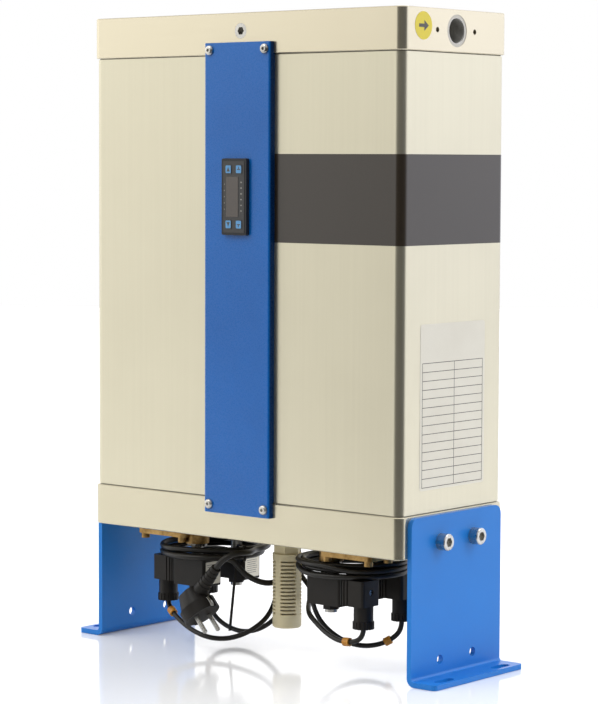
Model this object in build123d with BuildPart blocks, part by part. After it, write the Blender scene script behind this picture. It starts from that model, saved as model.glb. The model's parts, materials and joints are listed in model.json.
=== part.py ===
from build123d import *
from math import cos, pi, radians, sin, tan
import os

os.makedirs("parts", exist_ok=True)

# Twin-column desiccant air dryer. X runs to the right of the front, Y to the back, Z up.
# The origin lies on the floor, in the middle between the legs. Sizes are in millimetres.

# Heights
leg_drop = 119.0          # floor to the underside of the lower block
block_h = 40.0            # both manifold blocks
gasket_t = 1.0
gasket_inset = 1.0
column_h = 429.0
bottom_z = leg_drop + block_h
column_z = bottom_z + gasket_t
upper_gasket_z = column_z + column_h
top_z = upper_gasket_z + gasket_t

# Manifold blocks and columns
block_w = 394.0
block_d = 164.0
corner_r = 8.0
block_edge = 0.8
overhang = 1.5            # block past the column on every side
column_w = block_w / 2 - overhang
column_d = block_d - 2 * overhang
front_y = -block_d / 2
column_front_y = front_y + overhang
bore_d = 140.0
column_wall = 8.0         # thinnest wall, at the outer side of the bore
bore_x = column_w - column_wall - bore_d / 2
channel_w = 42.0          # wiring channel between the columns, open to the front
channel_d = 106.0
feed_d = 16.0             # bore that leads the wet air down
feed_x = 24.0
feed_in_y = 30.0          # in from the back
feed_y = block_d / 2 - feed_in_y
chamber_d = 100.0         # air chamber in each block, over and under a column
chamber_h = 11.0

# Tie bolts that clamp the blocks on the columns
tie_d = 8.0
tie_clear = 1.0
tie_head_d = 13.0
tie_head_h = 8.0
tie_sink = 9.0
tie_inner_x = 34.0
tie_in_x = 13.0           # outer bolts, in from the ends of the blocks
tie_in_y = 16.0           # all bolts, in from the front and back
tie_outer_x = block_w / 2 - tie_in_x
tie_y = block_d / 2 - tie_in_y
tie_engage = 22.0
tap_run_out = 2.0
tie_hex = 6.0

# Ports in the ends of the upper block
port_z = top_z + block_h / 2
port_d = 24.1
port_l = 18.0
port_face_d = 30.5
port_face_sink = 0.3
flange_pitch = 58.4
flange_shift = 1.2        # pattern in front of the port on the right end, behind it on the left
flange_d = 5.0
flange_l = 12.0
inner_way_d = 12.0

# Check valves and purge nozzle in the upper block
check_d = 24.0
check_h = 16.0
check_clear = 0.15
nozzle_d = 8.0
nozzle_l = 14.0
nozzle_hole_d = 2.0
plug_d = 13.2
plug_l = 11.0
plug_head_d = 14.6
plug_head_t = 1.2
plug_socket = 7.0
plug_socket_l = 6.6
plug_rise = 22.5
plug_z = top_z + plug_rise

# Desiccant beds
bed_clear = 0.3
screen_t = 3.0
screen_slots = 12
screen_slot_w = 5.0
bed_spring_d = 112.0
bed_spring_hole = 60.0
bed_spring_t = 2.0
bed_spring_rise = 8.0
screen_ring = 43.6        # radius of the ring of slots
screen_slot_l = 35.0

# Front panel, a shallow folded tray
panel_w = 84.0
panel_proud = 5.5         # panel face in front of the blocks
panel_t = 1.5
panel_bend = 2.5
panel_low_z = 145.0
panel_high_z = 601.5
panel_hole_in = 7.0       # screw middle from the panel's edge
panel_hole_x = panel_w / 2 - panel_hole_in
panel_hole_low_z = 153.0
panel_hole_high_z = 594.5
panel_screw_d = 5.0
panel_head_d = 9.5
panel_head_h = 2.8
panel_screw_l = 10.0
panel_hex = 3.0
panel_hex_l = 1.7
panel_dome_r = 2.1
spacer_d = 9.0
panel_y = front_y - panel_proud

# Controller in the panel
bezel_w = 32.0
bezel_h = 74.0
bezel_proud = 4.0
bezel_r = 2.0
bezel_draft = 4.0
control_w = 27.4
control_h = 69.4
control_depth = 58.0
control_z = 453.5
control_clear = 0.3
overlay_w = 27.0
overlay_h = 69.0
overlay_t = 0.8
overlay_proud = 0.3
key_w = 8.0
key_h = 8.8
key_r = 1.2
key_rise = 0.5
key_x = 6.6
key_z = 26.5

# Legs, bent from plate
leg_t = 5.0
leg_w = 142.0
leg_top_z = 157.5
leg_reach = 33.0          # foot past the block
leg_corner = 9.0
leg_bend = 8.0
leg_hole_y = 26.0
leg_screw_z = 132.0
leg_low_hole_z = 20.0
leg_low_hole_d = 9.0
foot_slot_y = 45.0
foot_slot_l = 26.0
foot_slot_w = 9.0
foot_slot_in = 9.0        # slot middle from the foot's edge
leg_screw_d = 10.0
leg_screw_clear = 0.5
leg_screw_l = 22.0
leg_head_d = 16.0
leg_head_h = 10.0
leg_hex = 8.0
leg_head_edge = 0.8

# Pilot-operated diaphragm valves under the lower block
cover_w = 64.0
cover_d = 40.0
cover_t = 7.5
cover_x = 119.0
cover_r = 5.0
cover_screw_x = 25.0
cover_screw_y = 15.0
cover_screw_d = 5.0
cover_head_d = 8.5
cover_head_h = 5.0
cover_hex = 4.0
cover_screw_l = 18.0
valve_front_y = -47.0
valve_rear_y = 13.0
pilot_x = 87.0
boss_d = 24.0
boss_h = 14.0
diaphragm_d = 31.0
diaphragm_t = 2.0
diaphragm_clear = 0.3
valve_way_d = 14.0
tube_d = 12.0
tube_flange_d = 18.0
tube_flange_t = 3.0
solenoid_top_z = 90.0
solenoid_h = 27.0
solenoid_w = 42.0
solenoid_d = 27.0
solenoid_r = 3.0
solenoid_bore_clear = 0.2
nut_d = 17.0
nut_h = 5.0
tube_tail = 3.0

# Plug-in connectors on the solenoids
seal_t = 1.0
connector_w = 27.0
connector_d = 26.0
connector_h = 25.0
connector_r = 3.0
connector_groove = 1.6
connector_grooves = (4.0, 8.0)
gland_d = 19.0
gland_drop = 15.0
gland_in = 9.5            # gland middle from the connector's outer face
gland_nut_d = 21.0
gland_nut_h = 7.0
gland_nut_lobes = 16
gland_lobe_r = 0.9
gland_spigot_d = 15.0
connector_screw_d = 3.0
connector_screw_head = 5.5
connector_screw_sink = 1.2
connector_head_t = 1.5
connector_slot_w = 0.9
connector_slot_l = 0.7
connector_screw_clear = 0.2
seal_inset = 0.5
screw_over_middle = 1.0

# Silencer
silencer_y = -10.0
silencer_d = 29.0
silencer_wall = 3.6
silencer_low_z = 25.0
silencer_high_z = 99.0
silencer_hex = 24.0
silencer_thread_d = 20.6
silencer_thread_l = 12.0
silencer_chamber = 8.0    # exhaust chamber over the thread
silencer_cap = 8.0
silencer_edge = 1.2
silencer_neck_t = 2.0
silencer_neck_wall = 3.0
core_t = 4.7
slot_past_wall = 0.2
slot_rows = 15
slot_pitch = 3.72
slot_h = 1.7
slot_low_z = 38.5
slot_angle = 64.0
slot_turn = 45.0
core_clear = 0.3
thread_clear = 0.1

# Cable entry into the wiring channel
entry_x = -16.0
entry_y = 18.0
entry_d = 16.0
entry_hex = 22.0
entry_hex_h = 6.0
entry_dome_d = 18.0
entry_dome_h = 8.0
entry_l = 10.0
entry_draft = 5.0
entry_ring = 5.6          # cable middles round the entry's middle
entry_angles = (180, 110, 330, 50)

# Cables
cable_d = 5.0
cord_d = 6.0
loop_x = 89.0
loop_y = -17.0
loop_r = 57.0             # outside of each wound loop
loop_wall = 13.0
loop_edge = 3.0
loop_low_z = solenoid_top_z + 0.3
loop_h = 14.0
marker_d = 8.4
marker_l = 7.0
marker_clear = 0.3

# Cable tie round the left loop
tie_angle = -18.0         # round the loop, from +X
tie_w = 2.6
tie_t = 1.1
tie_clear_loop = 0.1
tie_tail_out = 1.0
tie_head = 4.5
tie_tail = 82.0
tie_swing = 15.0

# Mains plug, hanging in front of the left solenoid
plug_face_x = -56.1
plug_face_y = -73.0
plug_face_z = 37.6
plug_tilt = 49.0          # pins point down by this angle
plug_disc_d = 38.0
plug_disc_t = 12.0
plug_shoulder = 1.5
plug_back = 28.0
crown_w = 22.0
crown_d = 24.0
crown_r = 8.0
crown_x = 2.0
clip_w = 8.0
clip_depth = 2.5
relief_tilt = 9.0
relief_from = 8.0
relief_to = 46.0
lead_straight = 11.0      # straight run of the lead past the relief
relief_low = 20.0
relief_big_d = 17.0
relief_small_d = 10.0
relief_rings = 5
relief_pitch = 4.6
relief_gap = 1.8
relief_cut = 0.6
pin_d = 4.8
pin_l = 19.0
pin_pitch = 19.0
pin_root = 10.0
pin_edge = 0.8


def export(piece, name):
    piece.part.label = name
    export_step(piece.part, f"parts/{name}.step")


def block_plane(z):
    return Plane.XY.offset(z)


sides = (("left", -1), ("right", 1))
rows = (("front", valve_front_y), ("rear", valve_rear_y))
tie_points = [(s * x, t * tie_y) for s in (-1, 1) for x in (tie_inner_x, tie_outer_x) for t in (-1, 1)]
cover_corners = [(u * cover_screw_x, v * cover_screw_y) for u in (-1, 1) for v in (-1, 1)]
valves = [(side, s, row, y) for side, s in sides for row, y in rows]

# Lower manifold block
with BuildPart() as bottom_block:
    with BuildSketch(block_plane(leg_drop)) as outline:
        with Locations((0, 0)):
            RectangleRounded(block_w, block_d, corner_r)
    extrude(amount=block_h)
    chamfer(bottom_block.faces().group_by(Axis.Z)[0].edges(), block_edge)
    chamfer(bottom_block.faces().group_by(Axis.Z)[-1].edges(), block_edge)
    with BuildSketch(block_plane(bottom_z - chamber_h)) as chambers:
        for side, s in sides:
            with Locations((s * bore_x, 0)):
                Circle(chamber_d / 2)
        with Locations((-feed_x, feed_y)):
            Circle(feed_d / 2)
    extrude(amount=chamber_h, mode=Mode.SUBTRACT)
    with BuildSketch(block_plane(leg_drop)) as valve_seats:
        for side, s, row, y in valves:
            with Locations((s * cover_x, y)):
                Circle(diaphragm_d / 2 + diaphragm_clear)
    extrude(amount=diaphragm_t, mode=Mode.SUBTRACT)
    with BuildSketch(block_plane(leg_drop + diaphragm_t)) as valve_ways:
        for side, s, row, y in valves:
            with Locations((s * cover_x, y)):
                Circle(valve_way_d / 2)
    extrude(amount=block_h - chamber_h - diaphragm_t, mode=Mode.SUBTRACT)
    with BuildSketch(block_plane(leg_drop)) as cover_taps:
        for side, s, row, y in valves:
            with Locations(*[(s * cover_x + u, y + v) for u, v in cover_corners]):
                Circle(cover_screw_d / 2)
    extrude(amount=cover_screw_l - cover_t + tap_run_out, mode=Mode.SUBTRACT)
    with BuildSketch(block_plane(leg_drop)) as silencer_tap:
        with Locations((0, silencer_y)):
            Circle(silencer_thread_d / 2 + thread_clear)
    extrude(amount=silencer_thread_l + silencer_chamber, mode=Mode.SUBTRACT)
    with BuildSketch(block_plane(leg_drop)) as wire_way:
        with Locations((entry_x, entry_y)):
            Circle(entry_d / 2 + thread_clear)
        with Locations(*tie_points):
            Circle((tie_d + tie_clear) / 2)
    extrude(amount=block_h, mode=Mode.SUBTRACT)
    with BuildSketch(block_plane(leg_drop)) as tie_sinks:
        with Locations(*tie_points):
            Circle(tie_head_d / 2 + tie_clear)
    extrude(amount=tie_sink, mode=Mode.SUBTRACT)
    for side, s in sides:
        with BuildSketch(Plane.YZ.offset(s * block_w / 2)) as leg_taps:
            for t in (-1, 1):
                with Locations((t * leg_hole_y, leg_screw_z)):
                    Circle(leg_screw_d / 2)
        extrude(amount=-s * (leg_screw_l - leg_t + tap_run_out), mode=Mode.SUBTRACT)
    with BuildSketch(Plane.XZ.offset(-front_y)) as low_panel_taps:
        for s in (-1, 1):
            with Locations((s * panel_hole_x, panel_hole_low_z)):
                Circle(panel_screw_d / 2)
    extrude(amount=-panel_screw_l, mode=Mode.SUBTRACT)
export(bottom_block, "bottom_block")

# Upper manifold block
with BuildPart() as top_block:
    with BuildSketch(block_plane(top_z)) as outline:
        with Locations((0, 0)):
            RectangleRounded(block_w, block_d, corner_r)
    extrude(amount=block_h)
    chamfer(top_block.faces().group_by(Axis.Z)[0].edges(), block_edge)
    chamfer(top_block.faces().group_by(Axis.Z)[-1].edges(), block_edge)
    with BuildSketch(block_plane(top_z)) as chambers:
        for side, s in sides:
            with Locations((s * bore_x, 0)):
                Circle(chamber_d / 2)
        with Locations((-feed_x, feed_y)):
            Circle(feed_d / 2)
    extrude(amount=chamber_h, mode=Mode.SUBTRACT)
    with BuildSketch(block_plane(top_z + chamber_h)) as check_pockets:
        for side, s in sides:
            with Locations((s * bore_x, 0)):
                Circle(check_d / 2 + check_clear)
    extrude(amount=check_h, mode=Mode.SUBTRACT)
    with BuildSketch(block_plane(top_z)) as tie_taps:
        with Locations(*tie_points):
            Circle(tie_d / 2 + thread_clear)
    extrude(amount=tie_engage + tap_run_out, mode=Mode.SUBTRACT)
    for side, s in sides:
        with BuildSketch(Plane.YZ.offset(s * block_w / 2)) as port_face:
            with Locations((0, port_z)):
                Circle(port_face_d / 2)
        extrude(amount=-s * port_face_sink, mode=Mode.SUBTRACT)
        with BuildSketch(Plane.YZ.offset(s * (block_w / 2 - port_face_sink))) as port:
            with Locations((0, port_z)):
                Circle(port_d / 2)
        extrude(amount=-s * port_l, mode=Mode.SUBTRACT)
        with BuildSketch(Plane.YZ.offset(s * (block_w / 2 - port_face_sink - port_l))) as inner_way:
            with Locations((0, port_z)):
                Circle(inner_way_d / 2)
        extrude(amount=-s * (block_w / 2 - port_face_sink - port_l - bore_x), mode=Mode.SUBTRACT)
        with BuildSketch(Plane.YZ.offset(s * block_w / 2)) as flange_taps:
            for t in (-1, 1):
                with Locations((t * flange_pitch / 2 - s * flange_shift, port_z)):
                    Circle(flange_d / 2)
        extrude(amount=-s * flange_l, mode=Mode.SUBTRACT)
    with BuildSketch(Plane.XZ.offset(-front_y)) as high_panel_taps:
        for s in (-1, 1):
            with Locations((s * panel_hole_x, panel_hole_high_z)):
                Circle(panel_screw_d / 2)
    extrude(amount=-panel_screw_l, mode=Mode.SUBTRACT)
    with BuildSketch(Plane.XZ.offset(-front_y)) as plug_seat:
        with Locations((0, plug_z)):
            Circle(plug_head_d / 2 + thread_clear)
    extrude(amount=-plug_head_t, mode=Mode.SUBTRACT)
    with BuildSketch(Plane.XZ.offset(-front_y)) as plug_tap:
        with Locations((0, plug_z)):
            Circle(plug_d / 2 + thread_clear)
    extrude(amount=-plug_l, mode=Mode.SUBTRACT)
    with BuildSketch(Plane.XZ.offset(-front_y - plug_l)) as nozzle_seat:
        with Locations((0, plug_z)):
            Circle(nozzle_d / 2 + thread_clear)
    extrude(amount=-nozzle_l, mode=Mode.SUBTRACT)
export(top_block, "top_block")

# Column extrusions, each with its bed bore and half of the wiring channel
for side, s in sides:
    with BuildPart() as column:
        with BuildSketch(block_plane(column_z)) as profile:
            with Locations((s * column_w / 2, 0)):
                Rectangle(column_w, column_d)
            fillet(profile.vertices().sort_by(Axis.X)[:: s][-2:], corner_r)
            with Locations((s * bore_x, 0)):
                Circle(bore_d / 2, mode=Mode.SUBTRACT)
            with Locations((s * channel_w / 4, column_front_y + channel_d / 2)):
                Rectangle(channel_w / 2, channel_d, mode=Mode.SUBTRACT)
            with Locations((s * feed_x, feed_y)):
                Circle(feed_d / 2, mode=Mode.SUBTRACT)
            with Locations(*[(x, y) for x, y in tie_points if x * s > 0]):
                Circle((tie_d + tie_clear) / 2, mode=Mode.SUBTRACT)
        extrude(amount=column_h)
    export(column, f"{side}_column")

# Sealing sheets between the columns and the blocks
for name, z in (("lower_gasket", bottom_z), ("upper_gasket", upper_gasket_z)):
    with BuildPart() as gasket:
        with BuildSketch(block_plane(z)) as sheet:
            with Locations((0, 0)):
                RectangleRounded(2 * (column_w - gasket_inset), column_d - 2 * gasket_inset, corner_r)
            with Locations(*[(s * bore_x, 0) for s in (-1, 1)]):
                Circle(chamber_d / 2, mode=Mode.SUBTRACT)
            with Locations((0, column_front_y + channel_d / 2)):
                Rectangle(channel_w, channel_d, mode=Mode.SUBTRACT)
            with Locations((-feed_x, feed_y)):
                Circle(feed_d / 2, mode=Mode.SUBTRACT)
            with Locations(*tie_points):
                Circle((tie_d + tie_clear) / 2, mode=Mode.SUBTRACT)
        extrude(amount=gasket_t)
    export(gasket, name)

# Desiccant beds between perforated screens, each pressed down by a disc spring
bed_d = bore_d - 2 * bed_clear
bed_low_z = column_z + screen_t
upper_screen_z = upper_gasket_z - bed_spring_rise - bed_spring_t - screen_t
for side, s in sides:
    with BuildPart() as bed:
        with BuildSketch(block_plane(bed_low_z)) as fill:
            with Locations((s * bore_x, 0)):
                Circle(bed_d / 2)
        extrude(amount=upper_screen_z - bed_low_z)
    export(bed, f"{side}_desiccant")

with BuildPart() as bed_screens:
    for z in (column_z, upper_screen_z):
        with BuildSketch(block_plane(z)) as screens:
            for side, s in sides:
                with Locations((s * bore_x, 0)):
                    Circle(bed_d / 2)
                with Locations((s * bore_x, 0)):
                    with PolarLocations(screen_ring, screen_slots):
                        SlotOverall(screen_slot_l, screen_slot_w, mode=Mode.SUBTRACT)
        extrude(amount=screen_t)
export(bed_screens, "bed_screens")

with BuildPart() as bed_springs:
    for side, s in sides:
        spring_foot = (s * bore_x, 0, upper_screen_z + screen_t)
        spring_plane = Plane(origin=spring_foot, x_dir=(1, 0, 0), z_dir=(0, -1, 0))
        with BuildSketch(spring_plane) as section:
            with BuildLine():
                Polyline(
                    (bed_spring_d / 2, 0),
                    (bed_spring_d / 2, bed_spring_t),
                    (bed_spring_hole / 2, bed_spring_rise + bed_spring_t),
                    (bed_spring_hole / 2, bed_spring_rise),
                    close=True,
                )
            make_face()
        revolve(axis=Axis((s * bore_x, 0, 0), (0, 0, 1)))
export(bed_springs, "bed_springs")

# Tie bolts, from the underside of the lower block up into the upper block
tie_low_z = leg_drop + tie_sink - tie_head_h
with BuildPart() as tie_bolts:
    with BuildSketch(block_plane(leg_drop + tie_sink)) as shanks:
        with Locations(*tie_points):
            Circle(tie_d / 2)
    extrude(amount=top_z + tie_engage - leg_drop - tie_sink)
    with BuildSketch(block_plane(tie_low_z)) as heads:
        with Locations(*tie_points):
            Circle(tie_head_d / 2)
    extrude(amount=tie_head_h)
    with BuildSketch(block_plane(tie_low_z)) as sockets:
        with Locations(*tie_points):
            RegularPolygon(tie_hex / 2, 6, major_radius=False)
    extrude(amount=tie_head_h / 2, mode=Mode.SUBTRACT)
export(tie_bolts, "tie_bolts")

# Check-valve cartridges and the purge nozzle, sealed in the upper block
with BuildPart() as check_valves:
    for side, s in sides:
        with BuildSketch(block_plane(top_z + chamber_h)) as body:
            with Locations((s * bore_x, 0)):
                Circle(check_d / 2)
        extrude(amount=check_h / 2)
        with BuildSketch(block_plane(top_z + chamber_h)) as nose:
            with Locations((s * bore_x, 0)):
                Circle(check_d / 4)
        extrude(amount=-chamber_h / 2)
export(check_valves, "check_valves")

with BuildPart() as purge_nozzle:
    with BuildSketch(Plane.XZ.offset(-front_y - plug_l)) as jet:
        with Locations((0, plug_z)):
            Circle(nozzle_d / 2)
            Circle(nozzle_hole_d / 2, mode=Mode.SUBTRACT)
    extrude(amount=-nozzle_l)
export(purge_nozzle, "purge_nozzle")

with BuildPart() as purge_plug:
    with BuildSketch(Plane.XZ.offset(-front_y)) as head:
        with Locations((0, plug_z)):
            Circle(plug_head_d / 2)
    extrude(amount=-plug_head_t)
    with BuildSketch(Plane.XZ.offset(-front_y - plug_head_t)) as shank:
        with Locations((0, plug_z)):
            Circle(plug_d / 2)
    extrude(amount=-(plug_l - plug_head_t))
    with BuildSketch(Plane.XZ.offset(-front_y)) as socket:
        with Locations((0, plug_z)):
            RegularPolygon(plug_socket / 2, 6, major_radius=False)
    extrude(amount=-plug_socket_l, mode=Mode.SUBTRACT)
export(purge_plug, "purge_plug")

# Front panel: a tray whose long flanges fold back to the blocks and the columns
panel_h = panel_high_z - panel_low_z
with BuildPart() as front_panel:
    with BuildSketch(block_plane(panel_low_z)) as tray:
        with BuildLine():
            FilletPolyline(
                (-panel_w / 2, front_y),
                (-panel_w / 2, panel_y),
                (panel_w / 2, panel_y),
                (panel_w / 2, front_y),
                (panel_w / 2 - panel_t, front_y),
                (panel_w / 2 - panel_t, panel_y + panel_t),
                (-panel_w / 2 + panel_t, panel_y + panel_t),
                (-panel_w / 2 + panel_t, front_y),
                radius=(0, panel_bend, panel_bend, 0, 0, panel_bend - panel_t, panel_bend - panel_t, 0),
                close=True,
            )
        make_face()
    extrude(amount=panel_h)
    with BuildSketch(block_plane(column_z)) as lips:
        for s in (-1, 1):
            with Locations((s * (panel_w - panel_t) / 2, front_y + overhang / 2)):
                Rectangle(panel_t, overhang)
    extrude(amount=column_h)
    with BuildSketch(Plane.XZ.offset(-panel_y)) as openings:
        with Locations((0, control_z)):
            Rectangle(control_w + 2 * control_clear, control_h + 2 * control_clear)
        for s in (-1, 1):
            for z in (panel_hole_low_z, panel_hole_high_z):
                with Locations((s * panel_hole_x, z)):
                    Circle(panel_screw_d / 2 + thread_clear)
    extrude(amount=-panel_t, mode=Mode.SUBTRACT)
export(front_panel, "front_panel")

panel_holes = [(s * panel_hole_x, z) for s in (-1, 1) for z in (panel_hole_low_z, panel_hole_high_z)]
with BuildPart() as panel_spacers:
    with BuildSketch(Plane.XZ.offset(-panel_y - panel_t)) as rings:
        with Locations(*panel_holes):
            Circle(spacer_d / 2)
            Circle(panel_screw_d / 2 + thread_clear, mode=Mode.SUBTRACT)
    extrude(amount=-(panel_proud - panel_t))
export(panel_spacers, "panel_spacers")

with BuildPart() as panel_screws:
    with BuildSketch(Plane.XZ.offset(-panel_y)) as heads:
        with Locations(*panel_holes):
            Circle(panel_head_d / 2)
    extrude(amount=panel_head_h)
    fillet(panel_screws.faces().sort_by(Axis.Y)[:4].edges(), panel_dome_r)
    with BuildSketch(Plane.XZ.offset(-panel_y + panel_head_h)) as sockets:
        with Locations(*panel_holes):
            RegularPolygon(panel_hex / 2, 6, major_radius=False)
    extrude(amount=-panel_hex_l, mode=Mode.SUBTRACT)
    with BuildSketch(Plane.XZ.offset(-panel_y)) as shanks:
        with Locations(*panel_holes):
            Circle(panel_screw_d / 2)
    extrude(amount=-(panel_proud + panel_screw_l - tap_run_out))
export(panel_screws, "panel_screws")

# Controller: bezel in front of the panel, body through it
bezel_y = panel_y - bezel_proud
with BuildPart() as controller:
    with BuildSketch(Plane.XZ.offset(-panel_y)) as bezel:
        with Locations((0, control_z)):
            RectangleRounded(bezel_w, bezel_h, bezel_r)
    extrude(amount=bezel_proud, taper=bezel_draft)
    with BuildSketch(Plane.XZ.offset(-bezel_y)) as recess:
        with Locations((0, control_z)):
            RectangleRounded(overlay_w, overlay_h, bezel_r / 2)
    extrude(amount=-overlay_t, mode=Mode.SUBTRACT)
    with BuildSketch(Plane.XZ.offset(-panel_y)) as body:
        with Locations((0, control_z)):
            Rectangle(control_w, control_h)
    extrude(amount=-control_depth)
export(controller, "controller")

with BuildPart() as key_overlay:
    with BuildSketch(Plane.XZ.offset(-bezel_y - overlay_t)) as sheet:
        with Locations((0, control_z)):
            RectangleRounded(overlay_w - 2 * thread_clear, overlay_h - 2 * thread_clear, bezel_r / 2)
    extrude(amount=overlay_t + overlay_proud)
    with BuildSketch(Plane.XZ.offset(-bezel_y + overlay_proud)) as keys:
        for s in (-1, 1):
            for t in (-1, 1):
                with Locations((s * key_x, control_z + t * key_z)):
                    RectangleRounded(key_w, key_h, key_r)
    extrude(amount=key_rise)
export(key_overlay, "key_overlay")

# Legs and their screws
for side, s in sides:
    face_x = s * block_w / 2
    with BuildPart() as leg:
        with BuildSketch(Plane.XZ.offset(leg_w / 2)) as profile:
            with BuildLine():
                FilletPolyline(
                    (face_x, leg_top_z),
                    (face_x, 0),
                    (face_x + s * leg_reach, 0),
                    (face_x + s * leg_reach, leg_t),
                    (face_x + s * leg_t, leg_t),
                    (face_x + s * leg_t, leg_top_z),
                    radius=(0, leg_bend, 0, 0, leg_bend - leg_t, 0),
                    close=True,
                )
            make_face()
        extrude(amount=-leg_w)
        top_corners = leg.edges().filter_by(Axis.X).group_by(Axis.Z)[-1]
        fillet(top_corners, leg_corner)
        foot_corners = leg.edges().filter_by(Axis.Z).group_by(Axis.X)[:: s][-1]
        fillet(foot_corners, leg_corner / 2)
        with BuildSketch(Plane.YZ.offset(face_x)) as holes:
            for t in (-1, 1):
                with Locations((t * leg_hole_y, leg_screw_z)):
                    Circle(leg_screw_d / 2 + leg_screw_clear)
                with Locations((t * leg_hole_y, leg_low_hole_z)):
                    Circle(leg_low_hole_d / 2)
        extrude(amount=s * leg_t, mode=Mode.SUBTRACT)
        with BuildSketch(Plane.XY) as slots:
            for t in (-1, 1):
                with Locations((face_x + s * (leg_reach - foot_slot_in), t * foot_slot_y)):
                    SlotOverall(foot_slot_l, foot_slot_w, rotation=90)
        extrude(amount=leg_t, mode=Mode.SUBTRACT)
    export(leg, f"{side}_leg")

with BuildPart() as leg_screws:
    for side, s in sides:
        seat_x = s * (block_w / 2 + leg_t)
        spots = [(t * leg_hole_y, leg_screw_z) for t in (-1, 1)]
        with BuildSketch(Plane.YZ.offset(seat_x)) as heads:
            with Locations(*spots):
                Circle(leg_head_d / 2)
        extrude(amount=s * leg_head_h)
        chamfer(leg_screws.faces().sort_by(Axis.X)[:: s][-2:].edges(), leg_head_edge)
        with BuildSketch(Plane.YZ.offset(seat_x + s * leg_head_h)) as sockets:
            with Locations(*spots):
                RegularPolygon(leg_hex / 2, 6, major_radius=False)
        extrude(amount=-s * leg_head_h / 2, mode=Mode.SUBTRACT)
        with BuildSketch(Plane.YZ.offset(seat_x)) as shanks:
            with Locations(*spots):
                Circle(leg_screw_d / 2)
        extrude(amount=-s * leg_screw_l)
export(leg_screws, "leg_screws")

# Valve covers, pilot tubes, solenoids and connectors
cover_low_z = leg_drop - cover_t
boss_low_z = leg_drop - boss_h
solenoid_low_z = solenoid_top_z - solenoid_h
connector_top_z = solenoid_top_z
connector_x = pilot_x + solenoid_w / 2 + seal_t
connector_low_z = connector_top_z - connector_h
gland_x = connector_x + connector_w - gland_in
gland_low_z = connector_low_z - gland_drop
cable_exit_z = gland_low_z - gland_nut_h
screw_z = connector_low_z + connector_h / 2 + screw_over_middle

for side, s, row, y in valves:
    with BuildPart() as cover:
        with BuildSketch(block_plane(cover_low_z)) as plate:
            with Locations((s * cover_x, y)):
                RectangleRounded(cover_w, cover_d, cover_r)
            with Locations((s * pilot_x, y)):
                Circle(boss_d / 2)
            with Locations(*[(s * cover_x + u, y + v) for u, v in cover_corners]):
                Circle(cover_screw_d / 2 + thread_clear, mode=Mode.SUBTRACT)
        extrude(amount=cover_t)
        with BuildSketch(block_plane(boss_low_z)) as boss:
            with Locations((s * pilot_x, y)):
                Circle(boss_d / 2)
        extrude(amount=boss_h)
        with BuildSketch(block_plane(boss_low_z)) as tube_tap:
            with Locations((s * pilot_x, y)):
                Circle(tube_d / 2 + thread_clear)
        extrude(amount=boss_h, mode=Mode.SUBTRACT)
    export(cover, f"valve_cover_{side}_{row}")

    with BuildPart() as pilot_tube:
        with BuildSketch(block_plane(solenoid_low_z - nut_h - tube_tail)) as stem:
            with Locations((s * pilot_x, y)):
                Circle(tube_d / 2)
        extrude(amount=leg_drop - solenoid_low_z + nut_h + tube_tail)
        with BuildSketch(block_plane(boss_low_z - tube_flange_t)) as flange:
            with Locations((s * pilot_x, y)):
                RegularPolygon(tube_flange_d / 2, 6, major_radius=False)
        extrude(amount=tube_flange_t)
    export(pilot_tube, f"pilot_tube_{side}_{row}")

    with BuildPart() as solenoid:
        with BuildSketch(block_plane(solenoid_low_z)) as case:
            with Locations((s * pilot_x, y)):
                RectangleRounded(solenoid_w, solenoid_d, solenoid_r)
                Circle(tube_d / 2 + solenoid_bore_clear, mode=Mode.SUBTRACT)
        extrude(amount=solenoid_h)
    export(solenoid, f"solenoid_{side}_{row}")

    body_x = s * (connector_x + connector_w / 2)
    with BuildPart() as connector:
        with BuildSketch(block_plane(connector_low_z)) as case:
            with Locations((body_x, y)):
                RectangleRounded(connector_w, connector_d, connector_r)
            for x in connector_grooves:
                for t in (-1, 1):
                    with Locations((s * (connector_x + x), y + t * connector_d / 2)):
                        Rectangle(connector_groove, connector_groove, mode=Mode.SUBTRACT)
        extrude(amount=connector_h)
        with BuildSketch(block_plane(connector_low_z)) as gland:
            with Locations((s * gland_x, y)):
                Circle(gland_d / 2)
        extrude(amount=-gland_drop)
        with BuildSketch(block_plane(gland_low_z - gland_nut_h)) as spigot:
            with Locations((s * gland_x, y)):
                Circle(gland_spigot_d / 2)
        extrude(amount=gland_nut_h)
        with BuildSketch(Plane.YZ.offset(s * (connector_x + connector_w))) as screw_seat:
            with Locations((y, screw_z)):
                Circle(connector_screw_head / 2 + connector_screw_clear)
        extrude(amount=-s * (connector_screw_sink + connector_head_t), mode=Mode.SUBTRACT)
        with BuildSketch(Plane.YZ.offset(s * connector_x)) as screw_way:
            with Locations((y, screw_z)):
                Circle(connector_screw_d / 2 + thread_clear)
        extrude(amount=s * (connector_w - connector_screw_sink), mode=Mode.SUBTRACT)
    export(connector, f"connector_{side}_{row}")

with BuildPart() as diaphragms:
    with BuildSketch(block_plane(leg_drop)) as discs:
        for side, s, row, y in valves:
            with Locations((s * cover_x, y)):
                Circle(diaphragm_d / 2)
    extrude(amount=diaphragm_t)
export(diaphragms, "diaphragms")

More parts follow.
